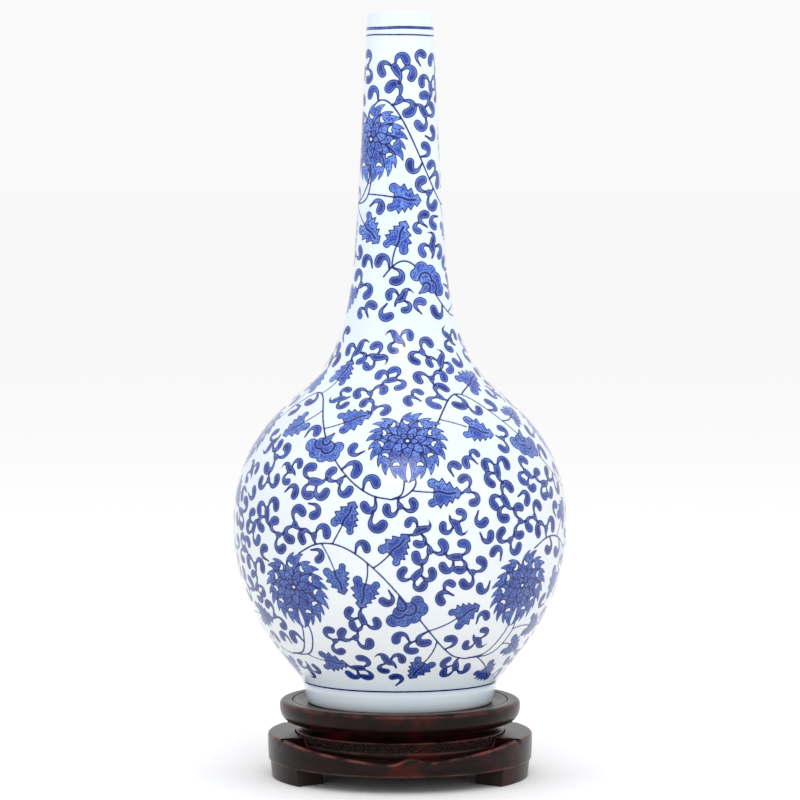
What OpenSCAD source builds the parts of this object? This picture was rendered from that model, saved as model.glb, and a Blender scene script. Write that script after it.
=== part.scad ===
// Long-necked globular porcelain vase on a round, four-footed wooden stand.
// Origin on the vase's axis, on the surface that the stand's feet rest on; front is -Y.

/* [Vase] */
// Height of the vase from its foot to its rim
vase_h = 400; // [380:1:420]
// Radius of the belly at its widest
belly_r = 97; // [94:0.5:100]
// Height of the widest line above the foot
belly_z = 104; // [100:1:110]
// Radius where the shoulder's curve turns over into the neck's
shoulder_r = 54; // [52:0.5:56]
// Height of that turn above the foot
shoulder_z = 184; // [182:0.5:188]
// Radius at the bottom of the straight neck
neck_r = 26.8; // [26:0.1:28]
// Height at which the straight neck starts
neck_z = 256; // [250:1:262]
// Outer radius of the mouth
mouth_r = 19; // [18.5:0.1:20]
// Radius of the cylindrical throat inside the mouth
throat_r = 14.6; // [14:0.1:15]
// Length of the cylindrical throat
throat_len = 12; // [8:0.5:16]
// Thickness of the wall
wall = 4.2; // [3.6:0.1:5]

/* [Foot ring] */
// Outer radius of the foot ring where it rests
foot_rest_r = 54; // [52:0.5:55]
// Outer radius of the foot ring where it meets the belly
foot_top_r = 56.5; // [55.5:0.5:57]
// Height of the foot ring
foot_h = 12; // [10:0.5:13]
// Width of the flat that rests
foot_land = 5.5; // [4:0.5:7]
// Depth of the recess inside the foot ring
recess_h = 7; // [5:0.5:8]

/* [Stand] */
// Radius of the moulded top ring
ring_r = 70; // [68:0.5:72]
// Height of the top ring's upper face
ring_top_z = 44.5; // [44:0.25:46]
// Height of the seat that the vase stands on
seat_z = 43; // [42:0.25:43.5]
// Thickness of the top ring
ring_t = 12.5; // [11:0.5:13.5]
// Radius of the seat panel's edge
panel_r = 62.5; // [60:0.5:64]
// Radius of the waist
waist_r = 61; // [58:0.5:62]
// Radius of the base plate and its apron
base_r = 77; // [75:0.5:79]
// Height of the base plate's two high lobes, left and right
lobe_top_z = 25.5; // [24:0.5:27]
// Height of the base plate's floor
floor_z = 17; // [16:0.5:18]
// Height of the base plate's underside, which is also the height of a foot
foot_block_h = 10; // [9:0.5:12]
// Half the angle that a foot spans
foot_half_angle = 15; // [12:0.5:17]
// Radial thickness of a foot
foot_block_t = 19.5; // [16:0.5:22]

/* [Fasteners] */
// Radius of the dowel that pins each foot
dowel_r = 3; // [2.5:0.25:3.5]
// Length of that dowel
dowel_len = 11; // [9:0.5:12]
// Radius of the shank of an assembly screw
screw_r = 1.75; // [1.5:0.25:2]
// Radius of its countersunk head
screw_head_r = 3.5; // [3:0.25:4]

/* [Hidden] */
$fn = 96;

// Steps along each span of the vase's outline, and along each rounded edge
span_steps = 12;
lip_steps = 10;
bullnose_steps = 8;
cove_steps = 6;
// Slopes of the outline, as radius gained for each unit of height
foot_slope = 0.5;
shoulder_slope = -1.05;
neck_slope = -0.085;
mouth_slope = -0.055;
// How far the outline keeps to its slope on either side of those places
foot_reach = 10;
belly_reach_below = 54;
belly_reach_above = 48;
shoulder_reach_below = 18;
shoulder_reach_above = 11;
neck_reach_below = 52;
neck_reach_above = 45;
mouth_reach = 45;
// Radius of the rounded lip, which fills the wall between mouth and throat
lip_r = (mouth_r - throat_r) / 2;
lip_z = vase_h - lip_r;
throat_z = lip_z - throat_len;
// Angle that the lip's rounding leaves out at each end
lip_gap_angle = 15;
// Height over which the inside eases into the throat
throat_ease = 5;
// Thickness of the vase's floor
vase_floor_t = 6;
// Chamfer inside the foot ring's recess
recess_fillet = 2;
// Chamfer along the edges of the foot ring's land
land_edge = 1;
// Overlap that keeps two joined shapes one solid
tiny = 0.01;

// Directions of the feet, the notches, the scooped sides and the screws, from the front towards +X
foot_angles = [-66, 66, -114, 114];
notch_angles = [-63, 63, -117, 117];
side_angles = [0, 180];
screw_angles = [0, 90, 180, 270];
// Play between the seat panel and the ring around it
panel_gap = 0.2;
// Inner radius and height of the ledge that carries the seat panel
ledge_r = 48;
ledge_t = 5;
// Inner radius of the waist
waist_bore_r = 46;
// Gap between the waist and the lobes around it
waist_gap = 0.5;
// Radius of the rounding along the ring's edge
bullnose_r = 5.5;
// Radius of the recessed cove above the carved band
cove_r = 5;
// Lowest point of the scoop in the apron's edge, and the cusp in the middle of it
scoop_z = 17.5;
cusp_h = 3.5;
cusp_half_w = 9;
scoop_half_w = 68;
scoop_start = 30;
scoop_power = 1.5;
scoop_steps = 16;
// Notch at each end of a lobe
notch_w = 5;
notch_d = 4;
notch_tilt = 35;
notch_len = 4 * notch_d;
// Setback of a foot behind the apron's face
foot_setback = 1;
// Where the dowels and the screws stand, and how far the screws reach
dowel_circle_r = base_r - foot_setback - foot_block_t / 2;
dowel_z = foot_block_h - dowel_len / 2;
screw_circle_r = 54;
screw_tip_cover = 2;
screw_top_z = ring_top_z - ring_t + ledge_t - screw_tip_cover;
screw_head_h = 2.5;
screw_clear = 0.3;
// Kept between a cutter and a face that it passes
over = 1;

// Point on a cubic curve that starts at a, leaves towards b, and reaches d from c
function cubic(a, b, c, d, t) =
    pow(1 - t, 3) * a + 3 * pow(1 - t, 2) * t * b + 3 * (1 - t) * t * t * c + pow(t, 3) * d;

// Unit vector up along an outline of the given slope
function along(slope) = [slope, 1] / norm([slope, 1]);

// One span of the outline between two points, with a slope and a reach at each end
function span(p, slope_p, reach_p, q, slope_q, reach_q) =
    [for (i = [0 : span_steps - 1])
        cubic(p, p + reach_p * along(slope_p), q - reach_q * along(slope_q), q, i / span_steps)];

foot_corner = [foot_top_r, foot_h];
belly = [belly_r, belly_z];
shoulder = [shoulder_r, shoulder_z];
neck_base = [neck_r, neck_z];
mouth = [mouth_r, lip_z];

lower_outline = concat(span(foot_corner, foot_slope, foot_reach, belly, 0, belly_reach_below), [belly]);
upper_outline = concat(
    span(belly, 0, belly_reach_above, shoulder, shoulder_slope, shoulder_reach_below),
    span(shoulder, shoulder_slope, shoulder_reach_above, neck_base, neck_slope, neck_reach_below),
    [neck_base]);
neck_outline = concat(
    span(neck_base, neck_slope, neck_reach_above, mouth, mouth_slope, mouth_reach), [mouth]);

// The inside of a stretch of wall: each point moves inwards, square to the outline
function inner(points, slope_start, slope_end) =
    [for (i = [0 : len(points) - 1])
        let (
            last = len(points) - 1,
            way = i == 0 ? along(slope_start)
                : i == last ? along(slope_end)
                : (points[i + 1] - points[i - 1]) / norm(points[i + 1] - points[i - 1])
        )
        points[i] + wall * [-way[1], way[0]]];

function reversed(points) = [for (i = [len(points) - 1 : -1 : 0]) points[i]];

// Quarter circle from a start angle, with its ends
function arc(centre, r, from, to, steps) =
    [for (i = [0 : steps]) let (a = from + (to - from) * i / steps) centre + r * [cos(a), sin(a)]];

// Height of the apron's edge at a distance along its side from the middle
function scoop_height(t) =
    scoop_z
    + (lobe_top_z + over - scoop_z) * pow(abs(t) / scoop_half_w, scoop_power)
    + cusp_h * pow(max(0, 1 - abs(t) / cusp_half_w), scoop_power);

module turned(points) {
    translate([0, 0, seat_z]) rotate_extrude() polygon(points);
}

// Lower half of the belly, with its foot ring and the recess beneath
module vase_lower_body() {
    floor_top = recess_h + vase_floor_t;
    recess_r = foot_rest_r - foot_land - land_edge;
    color("ghostwhite") turned(concat(
        [[0, recess_h], [recess_r - recess_fillet, recess_h], [recess_r, recess_h - recess_fillet],
            [recess_r, land_edge], [recess_r + land_edge, 0],
            [foot_rest_r - land_edge, 0], [foot_rest_r, land_edge]],
        lower_outline,
        reversed(inner(lower_outline, foot_slope, 0)),
        [[foot_rest_r - foot_land, floor_top], [0, floor_top]]));
}

// Shoulder, from the widest line to the bottom of the neck
module vase_upper_body() {
    color("ghostwhite") turned(concat(
        upper_outline, reversed(inner(upper_outline, 0, neck_slope))));
}

// Neck, with a rounded lip and a true cylinder inside the mouth
module vase_neck() {
    inside = [for (p = inner(neck_outline, neck_slope, mouth_slope)) if (p[1] < throat_z - throat_ease) p];
    color("ghostwhite") turned(concat(
        neck_outline,
        arc([mouth_r - lip_r, lip_z], lip_r, lip_gap_angle, 180 - lip_gap_angle, lip_steps),
        [[throat_r, lip_z], [throat_r, throat_z]],
        reversed(inside)));
}

// Moulded ring with a rounded edge, and the ledge inside it that carries the seat panel
module top_frame_ring() {
    low = ring_top_z - ring_t;
    color("saddlebrown") difference() {
        rotate_extrude() polygon(concat(
            [[ledge_r, low]],
            arc([ring_r - bullnose_r, low + bullnose_r], bullnose_r, -90, 0, bullnose_steps),
            arc([ring_r - bullnose_r, ring_top_z - bullnose_r], bullnose_r, 0, 90, bullnose_steps),
            [[panel_r + panel_gap, ring_top_z], [panel_r + panel_gap, low + ledge_t],
                [ledge_r, low + ledge_t]]));
        screw_holes(screw_r);
    }
}

// Sunk panel that the vase's foot stands on
module top_panel() {
    low = ring_top_z - ring_t + ledge_t;
    color("sienna") translate([0, 0, low]) cylinder(r = panel_r, h = seat_z - low);
}

// Waist, with a plain recessed cove above the band
module waist_ring() {
    high = ring_top_z - ring_t;
    color("maroon") difference() {
        rotate_extrude() polygon(concat(
            [[waist_bore_r, floor_z], [waist_r, floor_z]],
            arc([waist_r, high], cove_r, 270, 180, cove_steps),
            [[waist_bore_r, high]]));
        screw_holes(screw_r);
    }
}

// Cutter above the scooped edge of one side
module scoop_cutter() {
    edge = [for (i = [-scoop_steps : scoop_steps])
        let (t = scoop_half_w * i / scoop_steps) [t, scoop_height(t)]];
    translate([0, -scoop_start, 0]) rotate([90, 0, 0]) linear_extrude(base_r)
        polygon(concat([[-scoop_half_w, base_r]], edge, [[scoop_half_w, base_r]]));
}

// Base plate: a floor, and a rim whose edge is scooped at the front and back, between two lobes
module base_plate() {
    rim_r = waist_r + waist_gap;
    color("saddlebrown") difference() {
        rotate_extrude() polygon([[0, foot_block_h], [base_r, foot_block_h],
            [base_r, lobe_top_z], [rim_r, lobe_top_z], [rim_r, floor_z], [0, floor_z]]);
        for (a = side_angles) rotate(a) scoop_cutter();
        for (a = notch_angles) rotate(a) notch_cutter();
        for (a = foot_angles) rotate(a) translate([0, -dowel_circle_r, dowel_z])
            cylinder(r = dowel_r, h = dowel_len);
        screw_holes(screw_r + screw_clear);
        screw_heads(foot_block_h - tiny);
    }
}

// V-shaped notch across the edge of a lobe
module notch_cutter() {
    translate([0, over - base_r, lobe_top_z]) rotate([-notch_tilt, 0, 0])
        rotate([90, 0, 0]) linear_extrude(notch_len, center = true)
            polygon([[-notch_w / 2, over], [0, -notch_d], [notch_w / 2, over]]);
}

// Holes along every assembly screw
module screw_holes(r) {
    for (a = screw_angles) rotate(a) translate([0, -screw_circle_r, foot_block_h - over])
        cylinder(r = r, h = screw_top_z - foot_block_h + over);
}

// Countersunk heads, pointing down
module screw_heads(z) {
    for (a = screw_angles) rotate(a) translate([0, -screw_circle_r, z])
        cylinder(r1 = screw_head_r, r2 = screw_r, h = screw_head_h);
}

// One foot: a block cut from a ring, with the lower half of its dowel's hole
module foot_block(angle) {
    outer_r = base_r - foot_setback;
    color("saddlebrown") difference() {
        rotate(angle - 90 - foot_half_angle) rotate_extrude(angle = 2 * foot_half_angle)
            translate([outer_r - foot_block_t, 0]) square([foot_block_t, foot_block_h]);
        rotate(angle) translate([0, -dowel_circle_r, dowel_z])
            cylinder(r = dowel_r, h = dowel_len);
    }
}

module foot_front_left() {
    foot_block(foot_angles[0]);
}

module foot_front_right() {
    foot_block(foot_angles[1]);
}

module foot_back_left() {
    foot_block(foot_angles[2]);
}

module foot_back_right() {
    foot_block(foot_angles[3]);
}

// Dowels between the feet and the base plate
module foot_dowels() {
    color("burlywood") for (a = foot_angles) rotate(a) translate([0, -dowel_circle_r, dowel_z])
        cylinder(r = dowel_r, h = dowel_len);
}

// Wood screws from beneath, through the base plate and the waist into the top ring's ledge
module assembly_screws() {
    color("goldenrod") {
        for (a = screw_angles) rotate(a) translate([0, -screw_circle_r, foot_block_h])
            cylinder(r = screw_r, h = screw_top_z - foot_block_h);
        screw_heads(foot_block_h);
    }
}

vase_lower_body();
vase_upper_body();
vase_neck();
top_frame_ring();
top_panel();
waist_ring();
base_plate();
foot_front_left();
foot_front_right();
foot_back_left();
foot_back_right();
foot_dowels();
assembly_screws();
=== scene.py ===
import math

import bpy
import numpy as np
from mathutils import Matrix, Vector


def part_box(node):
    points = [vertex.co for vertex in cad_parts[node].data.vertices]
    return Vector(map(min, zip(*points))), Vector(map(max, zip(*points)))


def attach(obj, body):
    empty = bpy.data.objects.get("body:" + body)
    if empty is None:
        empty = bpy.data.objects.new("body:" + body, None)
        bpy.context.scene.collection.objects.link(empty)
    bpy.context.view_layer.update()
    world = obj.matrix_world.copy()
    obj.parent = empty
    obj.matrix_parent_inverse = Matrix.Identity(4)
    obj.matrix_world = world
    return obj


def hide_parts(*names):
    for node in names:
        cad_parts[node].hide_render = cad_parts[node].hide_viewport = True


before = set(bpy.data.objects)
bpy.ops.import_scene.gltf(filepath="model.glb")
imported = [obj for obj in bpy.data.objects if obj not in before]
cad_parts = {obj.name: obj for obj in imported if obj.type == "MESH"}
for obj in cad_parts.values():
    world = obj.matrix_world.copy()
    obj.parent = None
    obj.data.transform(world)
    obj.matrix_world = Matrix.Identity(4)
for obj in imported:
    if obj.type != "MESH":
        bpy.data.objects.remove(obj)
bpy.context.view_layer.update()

MM = 0.001  # the outlines and the painting are worked out in millimetres

# ------ sizes, from the frame
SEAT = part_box("vase_lower_body")[0].z / MM         # height of the surface that the vase stands on
VASE_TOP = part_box("vase_neck")[1].z / MM - SEAT
BELLY_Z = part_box("vase_upper_body")[0].z / MM - SEAT
NECK_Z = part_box("vase_neck")[0].z / MM - SEAT
RING_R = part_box("top_frame_ring")[1].x / MM
RING_LOW, RING_TOP = (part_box("top_frame_ring")[i].z / MM for i in (0, 1))
PANEL_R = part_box("top_panel")[1].x / MM
PANEL_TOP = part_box("top_panel")[1].z / MM
WAIST_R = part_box("waist_ring")[1].x / MM
FLOOR_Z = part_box("waist_ring")[0].z / MM
BASE_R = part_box("base_plate")[1].x / MM
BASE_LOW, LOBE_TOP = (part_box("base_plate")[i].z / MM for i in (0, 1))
FOOT_CORNER_Z = 12.0        # top of the foot ring
GROUND_LOW, GROUND_GAP, GROUND_HIGH = 16.5, 221.0, 379.0   # where the painted ground starts, rests and ends
ROW_STEP, BODY_COLUMNS, NECK_COLUMNS = 0.6, 1008, 504      # how finely the painted surfaces are divided


# ------ the painter's canvas
FAR = 4.0  # mm; nothing further than this from a brush mark matters


class Canvas:
    """A stretch of the vase's surface, unrolled: rows run up the outline, columns run round one repeat."""

    def __init__(self, s, radius, period, columns):
        self.s, self.radius, self.period, self.columns = s, radius, period, columns
        self.step = s[1] - s[0]
        shape = (len(s), columns)
        self.fill = np.full(shape, FAR)    # signed distance to the paint, negative inside it
        self.edge = np.full(shape, FAR)    # distance to the nearest drawn contour
        self.tone = np.zeros(shape)        # 1 where the paint is dotted and light, 0 where it is solid

    def window(self, deg, s, reach):
        """Rows, columns and local x, y in mm of the cells within reach of a place."""
        low = max(0, int((s - reach - self.s[0]) / self.step))
        high = min(len(self.s), int((s + reach - self.s[0]) / self.step) + 2)
        rows = np.arange(low, max(high, low + 1))
        per_column = self.period / self.columns
        half = int(math.degrees(reach / self.radius[rows].min()) / per_column) + 1
        half = min(half, self.columns // 2)
        middle = int(round(deg / per_column))
        columns = np.arange(middle - half, middle + half)
        turn = np.radians(columns * per_column - deg)
        x = turn[None, :] * self.radius[rows][:, None]
        y = np.repeat((self.s[rows] - s)[:, None], len(columns), axis=1)
        return np.ix_(rows, columns % self.columns), x, y

    def paint(self, cells, d, tone, fine=1.0):
        """Paints a shape with a contour round it, drawn thinner as fine rises."""
        inside = d < 0
        self.edge[cells] = np.where(inside, -d * fine, np.minimum(self.edge[cells], np.abs(d) * fine))
        self.tone[cells] = np.where(inside, tone, self.tone[cells])
        self.fill[cells] = np.minimum(self.fill[cells], d)

    def cut(self, cells, d):
        """Leaves the porcelain bare inside a shape."""
        self.fill[cells] = np.maximum(self.fill[cells], -d)
        self.edge[cells] = np.minimum(self.edge[cells], np.abs(d))

    def line(self, cells, d):
        """Draws a dark line inside paint that is already there."""
        self.edge[cells] = np.minimum(self.edge[cells], np.maximum(d, 0))

    def radius_at(self, s):
        return np.interp(s, self.s, self.radius)

    def clearance(self, deg, s):
        """Distance from places to the paint so far."""
        column = np.round(np.asarray(deg) * self.columns / self.period).astype(int) % self.columns
        row = np.round((np.asarray(s) - self.s[0]) / self.step).astype(int)
        off = (row < 0) | (row >= len(self.s))
        return np.where(off, -FAR, self.fill[np.clip(row, 0, len(self.s) - 1), column])

    def sample(self, deg, s):
        """fill, edge and tone at a grid of angles and distances along the outline."""
        column = np.asarray(deg) * self.columns / self.period
        row = np.clip((np.asarray(s) - self.s[0]) / self.step, 0, len(self.s) - 1.001)
        left, low = np.floor(column).astype(int), np.floor(row).astype(int)
        u, v = (column - left)[None, :], (row - low)[:, None]
        left, right = left % self.columns, (left + 1) % self.columns
        found = []
        for field in (self.fill, self.edge, self.tone):
            a = field[np.ix_(low, left)] * (1 - u) + field[np.ix_(low, right)] * u
            b = field[np.ix_(low + 1, left)] * (1 - u) + field[np.ix_(low + 1, right)] * u
            found.append(a * (1 - v) + b * v)
        return found


def smooth(points, per_span=6):
    """A Catmull-Rom curve through points, with any further columns, such as a width, carried along."""
    p = np.asarray(points, float)
    ends = np.vstack([2 * p[0] - p[1], p, 2 * p[-1] - p[-2]])
    made = []
    for a, b, c, d in zip(ends[:-3], ends[1:-2], ends[2:-1], ends[3:]):
        for t in np.arange(per_span) / per_span:
            made.append(0.5 * (2 * b + (c - a) * t + (2 * a - 5 * b + 4 * c - d) * t * t
                               + (3 * b - a - 3 * c + d) * t ** 3))
    made.append(p[-1])
    return np.array(made)


def rounded(centre, r, start, end, count):
    """Places along an arc, as r and z."""
    angles = np.radians(np.linspace(start, end, count))
    return [(centre[0] + r * math.cos(a), centre[1] + r * math.sin(a)) for a in angles]


def brush(x, y, stroke):
    """Signed distance to a brush stroke, given as rows of x, y and half width."""
    found = np.full(x.shape, 1e3)
    for (ax, ay, ar), (bx, by, br) in zip(stroke[:-1], stroke[1:]):
        ex, ey = bx - ax, by - ay
        t = np.clip(((x - ax) * ex + (y - ay) * ey) / max(ex * ex + ey * ey, 1e-9), 0, 1)
        found = np.minimum(found, np.hypot(x - ax - t * ex, y - ay - t * ey) - (ar + t * (br - ar)))
    return found


def polygon(x, y, points):
    """Signed distance to a closed outline."""
    near, sign = np.full(x.shape, 1e6), np.ones(x.shape)
    for (ax, ay), (bx, by) in zip(points, np.roll(points, 1, axis=0)):
        ex, ey, wx, wy = bx - ax, by - ay, x - ax, y - ay
        t = np.clip((wx * ex + wy * ey) / (ex * ex + ey * ey), 0, 1)
        near = np.minimum(near, (wx - ex * t) ** 2 + (wy - ey * t) ** 2)
        above, below, left = y >= ay, y < by, ex * wy > ey * wx
        sign = np.where((above & below & left) | ~(above | below | left), -sign, sign)
    return sign * np.sqrt(near)


# ------ the motifs
def tendril(x, y, heading, bends, step, widths):
    """A stroke that sets off from x, y and bends by so many degrees after each step."""
    made = [(x, y, widths[0])]
    for bend, width in zip(bends, widths[1:]):
        heading += bend
        x += step * math.cos(math.radians(heading))
        y += step * math.sin(math.radians(heading))
        made.append((x, y, width))
    return np.array(made)


def curl(x, y, heading, side, size=1.0):
    """A comma: a long thin tail that leaves x, y and rolls over into a round head."""
    bends = np.array([-6, -4, 10, 26, 34, 36, 32, 20]) * side
    widths = np.array([0.6, 0.7, 0.9, 1.2, 1.55, 1.95, 2.4, 2.7, 2.5]) * size
    return smooth(tendril(x, y, heading, bends, 1.75 * size, widths), 2)


def hook(x, y, heading, side):
    """A leaf-like tip: swells, narrows and flicks over to one side."""
    bends = np.array([14, 10, -10, -26, -40, -34, -8]) * side
    widths = np.array([1.3, 2.1, 2.2, 1.7, 1.1, 0.65, 0.4, 0.2])
    return smooth(tendril(x, y, heading, bends, 1.6, widths), 2)


# Each ground motif is a few strokes that grow upwards from a root at 0, 0.
def comma():
    return [curl(0, 0, 105, -1)]


def twin():
    """Two commas, the second from the back of the first: an S."""
    return [curl(0, 0, 100, -1), curl(-0.4, 4.2, 150, 1, 0.8)]


def fork():
    """A stem that splits in two, thick where it splits."""
    stem = smooth([(0, 0, 0.6), (0.6, 2.2, 0.9), (0.1, 4.6, 2.0)], 4)
    return [stem, curl(-0.2, 4.4, 138, 1, 0.95), curl(0.4, 4.4, 42, -1, 0.95)]


def sprig():
    """A stem with a curl on each side and a hooked tip."""
    stem = smooth([(0, 0, 0.6), (1.0, 2.4, 1.1), (0.4, 5.0, 2.2), (0, 6.6, 2.6)], 4)
    return [stem, curl(-0.8, 5.6, 168, 1, 0.85), curl(0.9, 6.0, 12, -1, 0.9), hook(0, 6.8, 95, -1)]


def spray():
    """A stem with a curl to one side, and a fork at its end."""
    stem = smooth([(0, 0, 0.6), (1.0, 2.4, 1.1), (0.4, 5.0, 2.0), (-0.6, 8.0, 2.1)], 4)
    return [stem, curl(0.8, 5.0, 14, -1, 0.9), curl(-0.8, 7.8, 140, 1, 0.9), curl(-0.4, 8.0, 62, -1, 0.85)]


def placed(stroke, turn, flip=1, size=1.0):
    """A stroke scaled, mirrored and turned about the origin."""
    c, s = math.cos(math.radians(turn)), math.sin(math.radians(turn))
    x, y, r = stroke[:, 0] * flip * size, stroke[:, 1] * size, stroke[:, 2] * size
    return np.column_stack([c * x - s * y, s * x + c * y, r])


def stamp(canvas, deg, s, strokes, tone=0.15):
    reach = max(np.hypot(one[:, 0], one[:, 1]).max() for one in strokes) + 3 + FAR
    cells, x, y = canvas.window(deg, s, reach)
    canvas.paint(cells, np.min([brush(x, y, one) for one in strokes], axis=0), tone)


def turned_back(x, y, turn):
    """Places in the frame of a motif that is turned by so many degrees."""
    c, s = math.cos(math.radians(turn)), math.sin(math.radians(turn))
    return c * x + s * y, c * y - s * x


LEAF_LENGTH = 16.0


def leaf_side(width, lobe_r, teeth):
    """One side of a leaf: a round lobe that reaches back beside the stem, then teeth up to the tip."""
    side = [(0.6, 0.5)] + rounded((width - lobe_r, -0.4), lobe_r, 165, 375, 9)
    for k in range(teeth):
        t = (k + 0.6) / (teeth + 0.4)
        reach, y = width * (1 - t ** 1.7), 0.8 + (LEAF_LENGTH - 2.0) * t
        side += [(reach * 0.80, y), (reach + 0.9, y + 1.6)]
    return np.array(side)


# the painter's leaf leans: one side is wider, with a rounder lobe
LEAF_OUTLINE = np.vstack([leaf_side(7.6, 2.6, 3), [(0.4, LEAF_LENGTH)],
                          (leaf_side(7.9, 2.1, 4) * (-1, 1))[::-1]])
LEAF_RIM = 0.3  # mm that a leaf is painted past its outline


def leaf(canvas, deg, s, turn, flip=1, size=1.0):
    """A shield-shaped leaf with two lobes by its stem, toothed towards the tip."""
    outline = LEAF_OUTLINE * (flip, 1) * size
    cells, x, y = canvas.window(deg, s, 20 * size)
    x, y = turned_back(x, y, turn)
    canvas.paint(cells, polygon(x, y, outline) - LEAF_RIM, 1.0)
    rib = np.array([(0, 0, 0), (0.6 * flip, 4, 0), (-0.3 * flip, 8, 0), (0.3 * flip, 12.5, 0)]) * size
    canvas.line(cells, brush(x, y, smooth(rib, 4)))


def petal(canvas, cells, x, y, angle, out, side):
    """Two claws that leave a flower's heart together and hook over to one side; returns its eye."""
    def claw(start, bend, reach, width):
        stroke = []
        for t, swell in [(0.25, 0.75), (0.5, 1.0), (0.72, 0.86), (0.88, 0.46), (1.0, 0.06)]:
            way = math.radians(90 - angle - start - bend * t ** 4)
            stroke.append((reach * t * math.cos(way), reach * t * math.sin(way) - 1.5, width * swell))
        return brush(x, y, smooth(stroke, 4))

    lean = 7.5  # degrees between a claw and the middle of its petal
    outer = claw(side * lean, side * 17, out, 3.3)
    inner = claw(-side * lean * 0.95, side * 16, out * 0.96, 2.8)
    canvas.paint(cells, np.minimum(outer, inner), 1.0, 1.35)
    way = math.radians(90 - angle)
    along, across = (math.cos(way), math.sin(way)), (side * math.sin(way), -side * math.cos(way))
    eye = []
    for u, v, w in [(1.3, -1.4, 0.25), (0.2, -1.2, 0.7), (-0.9, 0.1, 0.85), (-0.3, 1.5, 0.3)]:
        u += 0.63 * out
        eye.append((along[0] * u + across[0] * v, along[1] * u + across[1] * v - 1.5, w))
    return smooth(eye, 4)


def rosette(canvas, cells, x, y, count, start, profile):
    """A ring of small petals, each a stroke of places along its length and half widths."""
    for k in range(count):
        way = math.radians(start + 360 / count * k)
        stroke = [(r * math.cos(way), 0.95 * r * math.sin(way) - 0.6, w) for r, w in profile]
        canvas.paint(cells, brush(x, y, smooth(stroke, 3)), 1.0, 1.5)


def flower(canvas, deg, s):
    """A lotus scroll flower: two-tipped petals that all hook downwards, round a rosette."""
    cells, x, y = canvas.window(deg, s, 29)
    eyes = []
    # from the top down, so that each lower petal overlaps the one above it
    for angle, out in [(0, 23.0), (33, 23.2), (64, 23.5), (94, 24.0), (124, 24.0), (155, 24.5)]:
        for side in (1, -1) if angle else (1,):
            eyes.append(petal(canvas, cells, x, y, side * angle, out, side))
    rosette(canvas, cells, x, y, 11, 98, [(5.0, 1.6), (9.5, 2.6), (13.0, 1.9), (15.6, 0.4)])
    rosette(canvas, cells, x, y, 7, 115, [(2.2, 1.2), (5.2, 2.6), (8.2, 2.1), (10.8, 0.5)])
    rosette(canvas, cells, x, y, 6, 0, [(1.2, 0.8), (3.4, 1.7), (5.6, 0.6)])
    canvas.paint(cells, np.hypot(x, y + 0.4) - 1.9, 0.5)
    canvas.cut(cells, np.hypot(x / 1.2, y + 0.4) - 0.85)
    for eye in eyes:
        canvas.cut(cells, brush(x, y, eye))


def bud(canvas, deg, s, turn):
    """A cloud-shaped bud: round lobes, a smaller scroll over them, and a neck for the vine."""
    cells, x, y = canvas.window(deg, s, 22)
    x, y = turned_back(x, y, turn)

    def lobes(circles):
        return np.min([np.hypot(x - cx, y - cy) - r for cx, cy, r in circles], axis=0)

    canvas.paint(cells, lobes([(-8.6, -2.6, 4.3), (-3.4, -5.0, 4.4), (2.6, -5.0, 4.5), (8.0, -2.2, 4.7),
                               (8.4, 2.6, 3.8), (0, -1, 5.0)]), 1.0)
    canvas.paint(cells, lobes([(-3.6, 0.9, 3.7), (2.4, 0.6, 4.1), (0, 2.4, 2.6)]), 1.0)
    neck = smooth([(0.2, 9.5, 0.6), (-0.3, 7.5, 1.2), (-0.8, 5.2, 2.2), (-0.9, 3.4, 2.6)], 4)
    canvas.paint(cells, brush(x, y, neck), 0.7)


# ------ the scroll's growth
def wave(start, end, peak, trough, middle, swing):
    """A running stem by degrees and height: a cosine, highest at peak and lowest at trough."""
    stem = []
    for deg in np.linspace(start, end, 12):
        stem.append((deg, middle + swing * math.cos(math.pi * (deg - peak) / (trough - peak))))
    return stem


STEM_HALF = 0.5  # mm, half the width of a running stem


def vine(canvas, places):
    """A long stem through places given as degrees and distances along the outline."""
    for (deg_a, s_a), (deg_b, s_b) in zip(places[:-1], places[1:]):
        deg, s = (deg_a + deg_b) / 2, (s_a + s_b) / 2
        x, y = math.radians(deg_b - deg_a) / 2 * canvas.radius_at(s), (s_b - s_a) / 2
        cells, across, up = canvas.window(deg, s, math.hypot(x, y) + FAR)
        canvas.paint(cells, brush(across, up, [(-x, -y, STEM_HALF), (x, y, STEM_HALF)]), 0.0)


def fits(canvas, deg, s, strokes, gap, root=0.0):
    """Whether strokes keep clear of the paint so far, apart from what they grow from."""
    p = np.vstack(strokes)
    away = np.hypot(p[:, 0], p[:, 1])
    need = p[:, 2] + gap * np.clip((away - root) / 5, 0.2, 1)
    at = s + p[:, 1]
    radius = canvas.radius_at(at)
    room = canvas.clearance(deg + np.degrees(p[:, 0] / radius), at)
    return ((room >= need) | (away < root)).all()


def within(s, strokes, low, high):
    """Whether strokes stay inside the painted ground."""
    p = np.vstack(strokes)
    return (s + p[:, 1] - p[:, 2]).min() >= low and (s + p[:, 1] + p[:, 2]).max() <= high


def shoots(canvas, deg, s, stroke):
    """Places on the back of a curl where the next motif may grow from."""
    found = []
    for part in (0.3, 0.62):
        i = int(part * (len(stroke) - 1))
        x, y, width = stroke[i]
        ahead, side = stroke[i + 1, :2] - stroke[i, :2], stroke[-1, :2] - stroke[i, :2]
        ahead = ahead / np.hypot(*ahead)
        away = -np.sign(ahead[0] * side[1] - ahead[1] * side[0]) * np.array([-ahead[1], ahead[0]])
        x, y = (x, y) + away * width * 0.7
        way = away + ahead * 0.8
        radius = canvas.radius_at(s + y)
        found.append((deg + math.degrees(x / radius), s + y, math.degrees(math.atan2(way[1], way[0]))))
    return found


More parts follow.
